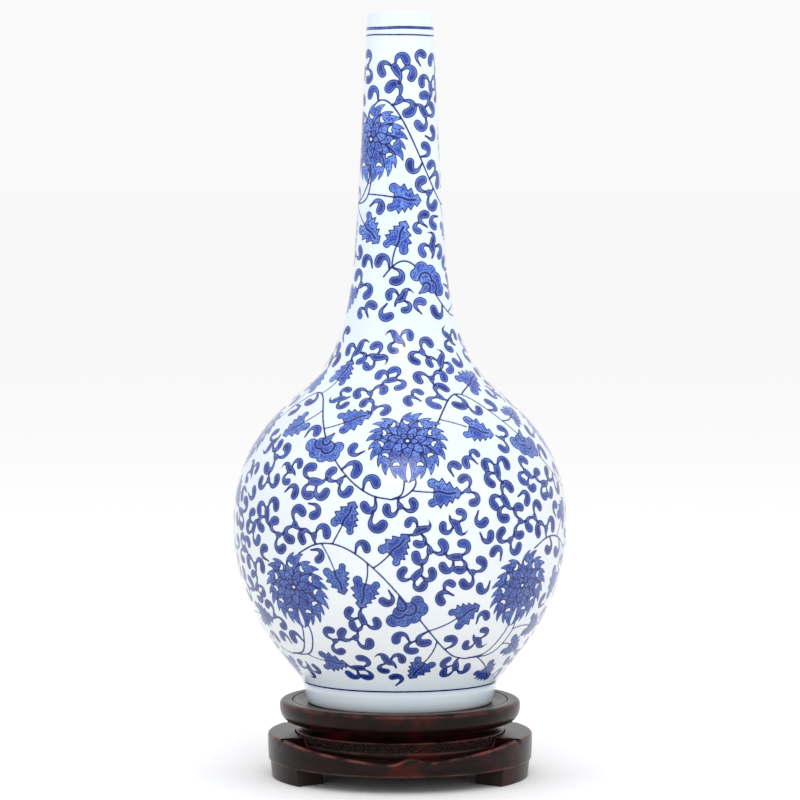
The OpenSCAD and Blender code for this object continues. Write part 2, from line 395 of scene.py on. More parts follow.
def grow(canvas, random, roots, kinds, low, high, gap, tries=16):
    """Lets motifs grow from roots, and from each other, until nothing more fits."""
    roots = list(roots)
    while roots:
        deg, s, heading = roots.pop(random.integers(len(roots)))
        for _ in range(tries):
            kind = kinds[random.integers(len(kinds))]
            turn, flip = heading - 90 + random.uniform(-38, 38), random.choice((-1, 1))
            size = random.uniform(0.95, 1.18)
            strokes = [placed(one, turn, flip, size) for one in kind]
            if not (within(s, strokes, low, high) and fits(canvas, deg, s, strokes, gap, 2.6)):
                continue
            stamp(canvas, deg, s, strokes)
            for one in strokes:
                if one[-1, 2] > 1:
                    roots += shoots(canvas, deg, s, one)
            break


def scatter(canvas, random, kinds, low, high, tries, gap, room=2.5):
    """Fills what ground is left: each try drops a loose motif, and keeps it if nothing is in its way."""
    for _ in range(tries):
        deg, s = random.uniform(0, canvas.period), random.uniform(low, high)
        if canvas.clearance(deg, s) < room:
            continue
        turn, flip, size = random.uniform(0, 360), random.choice((-1, 1)), random.uniform(0.9, 1.05)
        strokes = kinds[random.integers(len(kinds))]
        middle = np.vstack(strokes).mean(axis=0) * (1, 1, 0)
        strokes = [placed(one - middle, turn, flip, size) for one in strokes]
        if within(s, strokes, low, high) and fits(canvas, deg, s, strokes, gap):
            stamp(canvas, deg, s, strokes)


def side_roots(canvas, places, lean):
    """Places along a stem where something may branch off, and the way it would set off."""
    found = []
    for i in range(3, len(places) - 2, 2):
        ahead = places[i + 1] - places[i]
        radius = canvas.radius_at(places[i, 1])
        way = math.degrees(math.atan2(ahead[1], math.radians(ahead[0]) * radius))
        found += [(places[i, 0], places[i, 1], way - lean), (places[i, 0], places[i, 1], way + lean)]
    return found


def grow_leaves(canvas, random, roots, count, low, high):
    """Leaves on short bent stems, each where it has room; returns their tips to grow from."""
    tips = []
    for k in random.permutation(len(roots)):
        deg, s, way = roots[k]
        for _ in range(6):
            bend, step, flip = random.uniform(-9, 9), random.choice((2.0, 3.0, 4.2)), random.choice((-1, 1))
            stem = tendril(0, 0, way + random.uniform(-20, 20), [bend] * 4, step, [0.45] * 5)
            end, before = stem[-1], stem[-2]
            heading = math.degrees(math.atan2(end[1] - before[1], end[0] - before[0]))
            size = random.uniform(0.9, 1.1)
            blade = [np.column_stack([LEAF_OUTLINE * (flip, 1) * part, np.zeros(len(LEAF_OUTLINE))])
                     for part in (1.0, 0.55)]
            blade = [placed(one, heading - 90, 1, size) + (end[0], end[1], 0) for one in blade]
            if not within(s, blade, low, high):
                continue
            if not (len(tips) < count and fits(canvas, deg, s, blade, 1.4)):
                continue
            if fits(canvas, deg, s, [stem], 1.0, 3.0):
                radius = canvas.radius_at(s)
                stamp(canvas, deg, s, [stem], 0.0)
                base = (deg + math.degrees(end[0] / radius), s + end[1])
                leaf(canvas, *base, heading - 90, flip, size)
                reach = LEAF_LENGTH * size
                tips.append((base[0] + math.degrees(math.cos(math.radians(heading)) * reach / radius),
                             base[1] + math.sin(math.radians(heading)) * reach, heading))
                break
    return tips


def paint_scroll(canvas, stems, leaves, low, high, motifs):
    """Running stems, the flowers and buds on them, then leaves, and curls and sprigs in what is left."""
    random = np.random.default_rng(SEED)
    low, high = arc(low), arc(high)
    routes = [smooth([(deg, arc(height)) for deg, height in stem], 6) for stem in stems]
    for places in routes:
        vine(canvas, places)
    motifs(canvas)
    roots = [root for places in routes for root in side_roots(canvas, places, lean=58)]
    tips = grow_leaves(canvas, random, roots, leaves, low, high)
    grow(canvas, random, roots + tips, [sprig(), spray(), fork()], low, high, gap=0.75, tries=34)
    scatter(canvas, random, [sprig()], low, high, tries=2500, gap=0.9)
    grow(canvas, random, roots, [twin(), comma()], low, high, gap=0.85)
    scatter(canvas, random, [fork(), twin()], low, high, tries=5000, gap=0.85)
    scatter(canvas, random, [comma()], low, high, tries=9000, gap=0.75, room=2.2)


# ------ outlines, measured on the frame
CLEAR_OUTSIDE = 0.2  # m from the axis, outside every piece
OFF_AXIS = 5e-5      # m; a ray this far off the axis meets no edge of the CAD mesh head on


def radii(node, heights, outside=True):
    """The CAD surface's radius at heights in mm, met from outside or from the axis."""
    found = []
    start_x, way = (CLEAR_OUTSIDE, -1) if outside else (0, 1)
    for z in heights:
        start = Vector((start_x, OFF_AXIS, z * MM))
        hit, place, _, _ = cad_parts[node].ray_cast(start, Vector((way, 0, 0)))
        found.append(place.x / MM if hit else np.nan)
    found, heights = np.array(found), np.asarray(heights)
    good = ~np.isnan(found)
    order = np.argsort(heights[good])
    return np.interp(heights, heights[good][order], found[good][order])


def softened(values, reach):
    """Values with their corners eased over a reach, keeping the slope at both ends."""
    kernel = np.exp(-np.linspace(-2.5, 2.5, 2 * reach + 1) ** 2 / 2)
    ends = np.concatenate([2 * values[0] - values[reach:0:-1], values,
                           2 * values[-1] - values[-2:-reach - 2:-1]])
    return np.convolve(ends, kernel / kernel.sum(), mode="valid")


heights = np.arange(FOOT_CORNER_Z + 0.25, VASE_TOP - 2.6, 0.5)
node_of = np.where(heights < BELLY_Z, 0, np.where(heights < NECK_Z, 1, 2))
VASE_NODES = ["vase_lower_body", "vase_upper_body", "vase_neck"]
outer = np.concatenate([radii(name, heights[node_of == i] + SEAT) for i, name in enumerate(VASE_NODES)])
outer = softened(outer, 16)
steps = np.hypot(np.diff(outer), np.diff(heights))
along = np.concatenate([[0], np.cumsum(steps)])


def arc(z):
    """Distance along the vase's outline to a height."""
    return np.interp(z, heights, along)


def height_at(s):
    return np.interp(s, along, heights)


def radius_at(s):
    return np.interp(s, along, outer)


# The scroll, in whole degrees from the front and whole mm above the foot.
UPPER_Z, LOWER_Z, NECK_FLOWER_Z = 158, 75, 327          # the three rows of flowers
UPPER_TURNS, LOWER_TURNS = (3, 93), (-40, 48)           # where a half turn's flowers stand
NECK_TURN = -48
BODY_LEAVES, NECK_LEAVES = 26, 5                        # small leaves in a half turn
SEED = 7                                                # for where the leaves, curls and sprigs grow
STEM_GAP = 15.0                                         # from a flower's heart down to its stems


def into_flower(deg, z, turn, flower_z):
    """The two short stems that carry a running stem up into a flower."""
    foot, way = flower_z - STEM_GAP, turn - deg
    left = [(deg, z), (deg + 0.6 * way, z + 3), (turn - 1.5, (z + foot) / 2 + 2), (turn - 2, foot)]
    right = [(deg, z), (deg + 0.8 * way, z + 2), (turn + 2.5, (z + foot) / 2), (turn + 1, foot)]
    return [left, right]


def paint_body():
    s = np.arange(arc(13.0), arc(GROUND_GAP), 0.5)
    canvas = Canvas(s, radius_at(s), 180, 600)
    stems = []
    for turn, after in zip(UPPER_TURNS, UPPER_TURNS[1:] + (UPPER_TURNS[0] + 180,)):
        # over the flower's right shoulder, down past a bud, and under the next flower
        end = after - 6
        stems.append(wave(turn + 12, end, peak=turn + 32, trough=end, middle=UPPER_Z - 4, swing=28))
        stems += into_flower(end, UPPER_Z - 32, after, UPPER_Z)
    for turn, after in zip(LOWER_TURNS, LOWER_TURNS[1:] + (LOWER_TURNS[0] + 180,)):
        end = after - 18
        stems.append(wave(turn + 4, end, peak=turn + 15, trough=end, middle=LOWER_Z - 8, swing=34))
        stems += into_flower(end, LOWER_Z - 42, after, LOWER_Z)

    def motifs(c):
        for turn in UPPER_TURNS:
            flower(c, turn, arc(UPPER_Z))
            bud(c, turn + 56, arc(UPPER_Z - 4), -20)
        for turn in LOWER_TURNS:
            flower(c, turn, arc(LOWER_Z))
            bud(c, turn + 42, arc(LOWER_Z - 12), 25)

    paint_scroll(canvas, stems, BODY_LEAVES, GROUND_LOW, GROUND_GAP - 1, motifs)
    return canvas


def paint_neck():
    s = np.arange(arc(GROUND_GAP), arc(384), 0.5)
    canvas = Canvas(s, radius_at(s), 180, 240)
    end = NECK_TURN + 130
    stems = [wave(NECK_TURN + 3, end, peak=NECK_TURN + 20, trough=end, middle=319, swing=30),
             wave(-20, 75, peak=5, trough=75, middle=241, swing=16)]
    stems += into_flower(end - 180, 289, NECK_TURN, NECK_FLOWER_Z)

    def motifs(c):
        flower(c, NECK_TURN, arc(NECK_FLOWER_Z))
        bud(c, 36, arc(245), 135)

    paint_scroll(canvas, stems, NECK_LEAVES, GROUND_GAP + 1, GROUND_HIGH, motifs)
    return canvas


body_canvas, neck_canvas = paint_body(), paint_neck()


def band(fields, s, deg, height, half, tone, wave):
    """A line round the vase, drawn by hand on a wheel and so never quite straight."""
    turn = np.radians(deg)
    middle = arc(height) + wave * (np.sin(turn * 2 + height) + 0.5 * np.sin(turn * 5 + 2 * height))
    d = np.abs(s[:, None] - middle[None, :]) - half
    inside = d < 0
    fields[1] = np.where(inside, -d, np.minimum(fields[1], np.abs(d)))
    fields[2] = np.where(inside, tone, fields[2])
    fields[0] = np.minimum(fields[0], d)


def painted(s, deg):
    """fill, edge and tone over rows at s and columns at deg."""
    low, high = body_canvas.sample(deg, s), neck_canvas.sample(deg, s)
    split = (s < arc(GROUND_GAP) - 0.5)[:, None]
    fields = [np.where(split, a, b) for a, b in zip(low, high)]
    outside = ((s < body_canvas.s[0]) | (s > neck_canvas.s[-1]))[:, None]
    for i, bare in enumerate((FAR, FAR, 0.0)):
        fields[i] = np.where(outside, bare, fields[i])
    band(fields, s, deg, 390.2, 0.85, 0.85, 0.15)
    band(fields, s, deg, 386.2, 0.45, 0.1, 0.12)
    band(fields, s, deg, FOOT_CORNER_Z + 1.1, 0.6, 0.4, 0.1)
    return fields


# ------ meshes
def edge_wear_and_highlight(outline):
    """How tightly an outline bends outwards at each point, in turns of a radian for each mm."""
    before, after = outline - np.roll(outline, 1, axis=0), np.roll(outline, -1, axis=0) - outline
    long_a, long_b = np.hypot(*before.T), np.hypot(*after.T)
    cross = before[:, 0] * after[:, 1] - before[:, 1] * after[:, 0]
    bend = np.arcsin(np.clip(cross / (long_a * long_b), -1, 1)) / (0.5 * (long_a + long_b))
    return np.clip(bend, 0, 1)


def turned(name, outline, columns, fields=None, first=0, sharp=35.0):
    """A closed turned piece from an outline of r and z in mm. An end at r 0 closes on the axis, and
    otherwise the outline closes on itself. fields are three layers of paint for the rows from first on."""
    outline = np.asarray(outline, float)
    capped = outline[0, 0] == 0
    rows = outline[1:-1] if capped else outline
    # columns start at the front and run towards +X
    angle = np.radians(np.arange(columns) * 360 / columns)
    x = rows[:, 0][:, None] * np.sin(angle)[None, :]
    y = -rows[:, 0][:, None] * np.cos(angle)[None, :]
    z = np.repeat(rows[:, 1][:, None], columns, axis=1)
    places = np.stack([x, y, z], axis=-1).reshape(-1, 3)
    count = len(rows)
    row = np.arange(count - 1 if capped else count)[:, None] * columns
    after = (row + columns) % (count * columns)
    column = np.arange(columns)[None, :]
    beside = (column + 1) % columns
    quads = np.stack([row + column, row + beside, after + beside, after + column], axis=-1).reshape(-1, 4)
    faces = [quads]
    if capped:
        poles = [len(places), len(places) + 1]
        places = np.vstack([places, [[0, 0, outline[0, 1]], [0, 0, outline[-1, 1]]]])
        ring = np.arange(columns)
        near = np.stack([np.full(columns, poles[0]), np.roll(ring, -1), ring], axis=-1)
        far = ring + (count - 1) * columns
        faces += [near, np.stack([np.full(columns, poles[1]), far, np.roll(far, -1)], axis=-1)]
    mesh = new_mesh(name, places, faces, sharp)
    # how sharply the outline bends outwards, for the lacquer's lighter edges: partly wear, partly a painted
    # highlight
    wear_and_highlight = np.zeros(len(places), np.float32)
    wear_and_highlight[:count * columns] = np.repeat(edge_wear_and_highlight(outline)[1:-1] if capped else edge_wear_and_highlight(outline), columns)
    mesh.attributes.new("wear_and_highlight", "FLOAT", "POINT").data.foreach_set("value", wear_and_highlight)
    if fields is not None:
        for label, field, bare in zip(("fill", "edge", "tone"), fields, (FAR, FAR, 0.0)):
            values = np.full(len(places), bare, np.float32)
            values[first * columns:first * columns + field.size] = field.reshape(-1)
            mesh.attributes.new(label, "FLOAT", "POINT").data.foreach_set("value", values)
    return new_piece(name, mesh)


def new_mesh(name, places, faces, sharp=35.0):
    """A mesh from places in mm and groups of faces, shaded smooth but for its sharp edges."""
    mesh = bpy.data.meshes.new(name)
    loops = np.concatenate([group.reshape(-1) for group in faces])
    sizes = np.concatenate([np.full(len(group), group.shape[1]) for group in faces])
    starts = np.concatenate([[0], np.cumsum(sizes)[:-1]])
    mesh.vertices.add(len(places))
    mesh.vertices.foreach_set("co", (np.asarray(places, np.float32) * MM).reshape(-1))
    mesh.loops.add(len(loops))
    mesh.loops.foreach_set("vertex_index", loops.astype(np.int32))
    mesh.polygons.add(len(sizes))
    mesh.polygons.foreach_set("loop_start", starts.astype(np.int32))
    mesh.polygons.foreach_set("loop_total", sizes.astype(np.int32))
    mesh.polygons.foreach_set("use_smooth", np.ones(len(sizes), bool))
    mesh.update(calc_edges=True)
    mesh.validate()
    mesh.set_sharp_from_angle(angle=math.radians(sharp))
    return mesh


def read_places(mesh):
    places = np.empty(len(mesh.vertices) * 3, np.float32)
    mesh.vertices.foreach_get("co", places)
    return places


def write_places(mesh, places):
    mesh.vertices.foreach_set("co", places.reshape(-1))
    mesh.update()


def eased(t):
    """Runs from 0 to 1 as t does, level at both ends."""
    return t * t * (3 - 2 * t)


def new_piece(name, mesh):
    piece = bpy.data.objects.new(name, mesh)
    bpy.context.scene.collection.objects.link(piece)
    return piece


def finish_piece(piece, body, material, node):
    piece.data.materials.append(material)
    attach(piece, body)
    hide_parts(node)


# ------ shader helpers
class Nodes:
    """Short names for building a material's tree."""

    def __init__(self, name):
        self.material = bpy.data.materials.new(name)
        self.material.use_nodes = True
        self.tree = self.material.node_tree
        self.shader = self.tree.nodes["Principled BSDF"]
        self.place = self.add("ShaderNodeTexCoord").outputs["Object"]

    def add(self, kind, **settings):
        node = self.tree.nodes.new(kind)
        for key, value in settings.items():
            setattr(node, key, value)
        return node

    def put(self, socket, value):
        if isinstance(value, bpy.types.NodeSocket):
            self.tree.links.new(value, socket)
        elif value is not None:
            socket.default_value = value

    def math(self, operation, *values):
        node = self.add("ShaderNodeMath", operation=operation)
        for socket, value in zip(node.inputs, values):
            self.put(socket, value)
        return node.outputs[0]

    def times(self, *values):
        return self.math("MULTIPLY", *values)

    def ramp(self, value, low, high, start=0.0, end=1.0):
        """Runs smoothly from start to end as value goes from low to high."""
        node = self.add("ShaderNodeMapRange", interpolation_type="SMOOTHSTEP")
        for socket, given in zip(node.inputs[:5], (value, low, high, start, end)):
            self.put(socket, given)
        return node.outputs[0]

    def noise(self, scale, detail=3.0, roughness=0.5, stretch=(1, 1, 1)):
        """Noise over the piece, with scale in features per metre."""
        mapping = self.add("ShaderNodeMapping")
        self.put(mapping.inputs["Vector"], self.place)
        mapping.inputs["Scale"].default_value = stretch
        node = self.add("ShaderNodeTexNoise")
        self.put(node.inputs["Vector"], mapping.outputs[0])
        node.inputs["Scale"].default_value = scale
        node.inputs["Detail"].default_value = detail
        node.inputs["Roughness"].default_value = roughness
        return node.outputs["Fac"]

    def cells(self, scale):
        node = self.add("ShaderNodeTexVoronoi")
        self.put(node.inputs["Vector"], self.place)
        node.inputs["Scale"].default_value = scale
        return node.outputs["Distance"]

    def mix(self, factor, first, second):
        node = self.add("ShaderNodeMix", data_type="RGBA")
        self.put(node.inputs[0], factor)
        for socket, value in ((node.inputs[6], first), (node.inputs[7], second)):
            self.put(socket, (*value, 1.0) if isinstance(value, tuple) else value)
        return node.outputs[2]

    def field(self, name):
        return self.add("ShaderNodeAttribute", attribute_name=name).outputs["Fac"]

    def bump(self, height, distance, strength=1.0):
        node = self.add("ShaderNodeBump")
        self.put(node.inputs["Height"], height)
        node.inputs["Distance"].default_value = distance
        node.inputs["Strength"].default_value = strength
        self.put(self.shader.inputs["Normal"], node.outputs[0])

    def set(self, **values):
        for key, value in values.items():
            self.put(self.shader.inputs[key.replace("_", " ")], value)


def colour(r, g, b):
    """A colour given as 0 to 255, made linear."""
    return tuple((c / 255 / 12.92 if c <= 10 else ((c / 255 + 0.055) / 1.055) ** 2.4) for c in (r, g, b))


def make_porcelain():
    n = Nodes("painted_porcelain")
    fill, edge, tone = n.field("fill"), n.field("edge"), n.field("tone")
    # the glaze: a cool white with the faintest clouding
    height = n.add("ShaderNodeSeparateXYZ")
    n.put(height.inputs[0], n.place)
    # painted shade: this mask greys the glaze and darkens the cobalt low on the belly, where less light falls
    low = n.ramp(height.outputs[2], 0.05, 0.26, 1.0, 0.0)    # 1 low on the belly, 0 from the shoulder up
    glaze = n.mix(n.ramp(n.noise(18, 2), 0.35, 0.7), colour(222, 233, 240), colour(215, 228, 238))
    # painted shade: the glaze is greyed low on the belly, but not on the foot
    low_belly_shade = n.times(low, n.ramp(height.outputs[2], 0.055, 0.075))
    glaze = n.mix(n.times(low_belly_shade, 0.6), glaze, colour(222, 219, 216))
    halo = n.times(n.ramp(fill, 0.1, 1.6, 1.0, 0.0), 0.30)
    glaze = n.mix(halo, glaze, colour(196, 216, 244))
    # the cobalt: washes between the contours, dotted where the tone is high
    tremble = n.math("SUBTRACT", n.noise(420, 2), 0.5)

    def unsteady(distance, by):
        """A distance that comes and goes with the brush's tremble."""
        return n.math("ADD", distance, n.times(tremble, by))

    cloud = n.noise(120, 3, 0.6)
    solid = n.mix(n.ramp(cloud, 0.35, 0.68), colour(12, 26, 110), colour(32, 62, 166))
    dots = n.ramp(n.cells(980), 0.32, 0.58)
    wash = n.mix(n.ramp(cloud, 0.35, 0.65), colour(48, 82, 186), colour(110, 150, 230))
    dotted = n.mix(dots, colour(18, 38, 138), wash)
    inside = n.mix(tone, solid, dotted)
    streak = n.times(n.ramp(edge, 0.45, 0.75), n.ramp(edge, 0.95, 1.5, 1.0, 0.0))
    inside = n.mix(n.times(streak, 0.45), inside, colour(128, 164, 234))
    cobalt = n.mix(n.ramp(unsteady(edge, 0.25), 0.34, 0.95), colour(12, 24, 106), inside)
    # painted shade: the cobalt is darker low on the belly
    cobalt = n.mix(n.times(low, 0.6), cobalt, colour(14, 22, 86))
    paint = n.ramp(unsteady(fill, 0.2), -0.16, 0.16, 1.0, 0.0)
    # the foot's edge, where the glaze was wiped off and grit sticks
    foot = n.ramp(height.outputs[2], SEAT * MM, (SEAT + 3) * MM, 0.8, 0.0)
    grit = n.ramp(n.cells(900), 0.12, 0.2, 0.5, 0.0)
    glaze = n.mix(foot, glaze, n.mix(grit, colour(186, 184, 176), colour(92, 84, 74)))
    n.set(Base_Color=n.mix(paint, glaze, cobalt), Roughness=0.16, IOR=1.45, Specular_IOR_Level=0.35,
          Coat_Weight=0.3, Coat_Roughness=0.12)
    n.bump(n.noise(60, 2), 0.00012, 0.35)
    return n.material


def make_lacquer():
    n = Nodes("lacquered_wood")
    grain = n.noise(30, 4, 0.6, (1, 1, 9))
    mottle = n.noise(45, 3, 0.6)
    base = n.mix(n.ramp(grain, 0.35, 0.7), colour(16, 7, 6), colour(32, 13, 9))
    base = n.mix(n.times(n.ramp(mottle, 0.50, 0.75), 0.5), base, colour(84, 17, 11))
    # the lacquer is rubbed thin along the edges, and the lighter colour there is also a painted highlight
    wear_and_highlight = n.times(n.ramp(n.field("wear_and_highlight"), 0.22, 0.6), n.ramp(n.noise(90, 2), 0.3, 0.6))
    base = n.mix(n.times(wear_and_highlight, 0.45), base, colour(134, 76, 72))
    n.set(Base_Color=base, Roughness=0.28, Specular_IOR_Level=0.11, Coat_Weight=0.07, Coat_Roughness=0.1)
    n.bump(n.math("ADD", n.noise(60, 2), n.times(n.noise(700, 2), 0.15)), 0.0004, 0.35)
    return n.material


def make_rough_cut():
    n = Nodes("rough_cut_wood")
    fibres = n.noise(260, 4, 0.7, (1, 1, 3))
    n.set(Base_Color=n.mix(n.ramp(fibres, 0.35, 0.7), colour(26, 14, 14), colour(52, 26, 24)), Roughness=0.55)
    n.bump(fibres, 0.0008, 0.8)
    return n.material


def make_bare_wood():
    n = Nodes("bare_wood")
    grain = n.noise(90, 4, 0.6, (1, 1, 0.12))
    base = n.mix(n.ramp(grain, 0.35, 0.7), colour(176, 140, 98), colour(206, 174, 130))
    n.set(Base_Color=base, Roughness=0.6)
    n.bump(grain, 0.0002, 0.4)
    return n.material


def make_screw_metal():
    n = Nodes("screw_metal")
    stain = n.noise(300, 3)
    n.set(Base_Color=n.mix(n.ramp(stain, 0.4, 0.7), colour(196, 160, 88), colour(150, 118, 66)), Metallic=1.0,
          Roughness=0.32)
    n.bump(n.noise(900, 2), 0.0001, 0.3)
    return n.material


porcelain = make_porcelain()
lacquer = make_lacquer()
rough_cut = make_rough_cut()


# ------ the vase
def rows_between(low, high):
    count = int(math.ceil((high - low) / ROW_STEP)) + 1
    return np.linspace(low, high, count)


def wall(node, top, bottom, count):
    """The wall's inner face, from the top down."""
    z = np.linspace(top, bottom, count)
    r = softened(radii(node, z + SEAT, outside=False), 2)
    return list(zip(r, z))


def make_vase_piece(name, s, before, after, columns, node):
    """A piece of the vase: painted rows at s, with unpainted rows before and after them."""
    outside = list(zip(radius_at(s), height_at(s)))
    outline = np.array(before + outside + after)
    outline[:, 1] += SEAT
    deg = np.arange(columns) * 360 / columns
    first = len(before) - (1 if outline[0, 0] == 0 else 0)
    piece = turned(name, outline, columns, painted(s, deg), first)
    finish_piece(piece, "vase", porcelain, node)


foot_r = radius_at(0)
FOOT_REST_R, FOOT_LAND, RECESS_H, FLOOR_TOP = 54.0, 5.5, 7.0, 13.0
foot = [(0, RECESS_H), (30, RECESS_H + 0.1)]
foot += rounded((FOOT_REST_R - FOOT_LAND - 3, RECESS_H - 2), 2, 90, 0, 5)
foot += rounded((FOOT_REST_R - FOOT_LAND + 0.3, 0.8), 0.8, 180, 270, 4)
foot += rounded((FOOT_REST_R - 1.4, 1.2), 1.2, 270, 350, 6)
foot += [(FOOT_REST_R + (foot_r - FOOT_REST_R) * t, FOOT_CORNER_Z * t) for t in (0.25, 0.45, 0.65, 0.85)]
lower_inside = wall("vase_lower_body", BELLY_Z - 0.05, FLOOR_TOP + 4, 40)
last_r = lower_inside[-1][0]
lower_inside += [(last_r - 3, FLOOR_TOP + 1.2), (last_r - 7, FLOOR_TOP + 0.3)]
lower_inside += [(30, FLOOR_TOP), (0, FLOOR_TOP)]
make_vase_piece("vase_lower_body_glazed", rows_between(0, arc(BELLY_Z)), foot, lower_inside, BODY_COLUMNS,
                "vase_lower_body")
make_vase_piece("vase_upper_body_glazed", rows_between(arc(BELLY_Z), arc(NECK_Z)), [],
                wall("vase_upper_body", NECK_Z - 0.05, BELLY_Z + 0.05, 60), BODY_COLUMNS, "vase_upper_body")
LIP_R = 2.2
lip_z = VASE_TOP - LIP_R
neck_rows = rows_between(arc(NECK_Z), arc(lip_z - 0.3))
lip = rounded((radius_at(neck_rows[-1]) - LIP_R, lip_z), LIP_R, 8, 172, 12)
make_vase_piece("vase_neck_glazed", neck_rows, [],
                lip + wall("vase_neck", lip_z - 1, NECK_Z + 0.05, 40), NECK_COLUMNS, "vase_neck")


# ------ the stand
def finish_wood(piece, node):
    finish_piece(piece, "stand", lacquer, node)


LEDGE_R, LEDGE_T = 48.0, 5.0    # the ring's ledge, which carries the panel
WAIST_BORE_R = 46.0


def make_top_ring():
    """Moulded ring with a rounded edge and a lip rubbed down by wear beside the panel."""
    edge_r, side_w, side_h = 2.6, 6.5, 8.5
    outline = [(LEDGE_R, RING_LOW)]
    for angle in np.radians(np.linspace(-90, 0, 16)):
        outline.append((RING_R - side_w + side_w * math.cos(angle),
                        RING_LOW + side_h + side_h * math.sin(angle)))
    outline += rounded((RING_R - edge_r, RING_TOP - edge_r), edge_r, 0, 90, 10)
    outline += [(PANEL_R + 1.2, RING_TOP), (PANEL_R + 0.5, RING_TOP - 0.25), (PANEL_R + 0.2, RING_TOP - 0.9)]
    outline += [(PANEL_R + 0.2, RING_LOW + LEDGE_T), (LEDGE_R, RING_LOW + LEDGE_T)]
    finish_wood(turned("top_ring_moulded", outline, 288), "top_frame_ring")


def make_top_panel():
    """Seat panel, dished a little inside its raised edge."""
    low = RING_LOW + LEDGE_T
    outline = [(0, low), (PANEL_R - 0.3, low), (PANEL_R, low + 0.3), (PANEL_R, PANEL_TOP + 0.4)]
    outline += rounded((PANEL_R - 0.8, PANEL_TOP + 0.4), 0.8, 20, 90, 4)
    seat = PANEL_TOP - 0.02
    outline += [(PANEL_R - 2.5, PANEL_TOP + 1.1), (PANEL_R - 4.5, PANEL_TOP + 0.2), (PANEL_R - 6, seat),
                (30, seat), (0, seat)]
    finish_wood(turned("seat_panel", outline, 288), "top_panel")


def make_waist():
    """Waist with a cove under the ring and a band of carved grains below it."""
    columns, rows = 1080, 26
    band_low, band_high = FLOOR_Z + 4.5, RING_LOW - 5.5
    outline = [(WAIST_BORE_R, FLOOR_Z), (WAIST_R - 0.4, FLOOR_Z), (WAIST_R, FLOOR_Z + 1.5)]
    outline.append((WAIST_R, band_low - 0.4))
    first = len(outline)
    outline += [(WAIST_R - 0.3, z) for z in np.linspace(band_low, band_high, rows)]
    outline += rounded((WAIST_R, RING_LOW), 5, 262, 185, 8)
    outline += [(WAIST_R - 5, RING_LOW), (WAIST_BORE_R, RING_LOW)]
    piece = turned("waist_carved", outline, columns, sharp=60)
    places = read_places(piece.data).reshape(len(outline), columns, 3)
    z = np.linspace(band_low, band_high, rows)[:, None]
    turn = (np.arange(columns) * 2 * math.pi / columns)[None, :]
    random = np.random.default_rng(5)
    # rows of small punched grains, each a little out of line
    lines, per_line = 4, 150
    ground, grain_w, grain_h = -0.7, 1.15, 0.75
    lift = np.full((rows, columns), ground)
    for line in range(lines):
        middle = band_low + (line + 0.5) * (band_high - band_low) / lines
        for k in range(per_line):
            at = (k + 0.5 * (line % 2) + random.uniform(-0.2, 0.2)) * 2 * math.pi / per_line
            across = ((turn - at + math.pi) % (2 * math.pi) - math.pi) * WAIST_R
            up = z - middle - random.uniform(-0.15, 0.15)
            grain = 1 - (across / grain_w) ** 2 - (up / grain_h) ** 2
            lift = np.maximum(lift, ground + np.sqrt(np.clip(grain, 0, 1)) * random.uniform(0.7, 1.0))
    lift[0] = lift[-1] = 0
    scale = 1 + lift / WAIST_R
    places[first:first + rows, :, 0] *= scale
    places[first:first + rows, :, 1] *= scale
    write_places(piece.data, places)
    finish_wood(piece, "waist_ring")


NOTCHES = (-63, 63, 117, -117)
NOTCH_HALF, NOTCH_DEPTH = 1.9, 3.2      # degrees and mm
SCOOP_HALF, SCOOP_TOP = 62.0, 17.5      # degrees and mm
CUSP_LEAN, CUSP_HALF, CUSP_H = 5, 9, 3.4    # degrees, degrees and mm


def off_scoop(deg):
    """Degrees from the middle of the nearer scoop."""
    return (np.asarray(deg) + 90) % 180 - 90


def apron_top(deg):
    """Height of the base's upper edge by angle: two lobes, and between them a scoop with a cusp."""
    side = off_scoop(deg)
    across = np.sin(np.radians(side)) / math.sin(math.radians(SCOOP_HALF))
    rise = np.clip(np.abs(across), 0, 1) ** 1.5
    cusp = np.clip(1 - np.abs(side - CUSP_LEAN) / CUSP_HALF, 0, 1)
    return SCOOP_TOP + (LOBE_TOP - SCOOP_TOP) * rise + CUSP_H * eased(cusp)


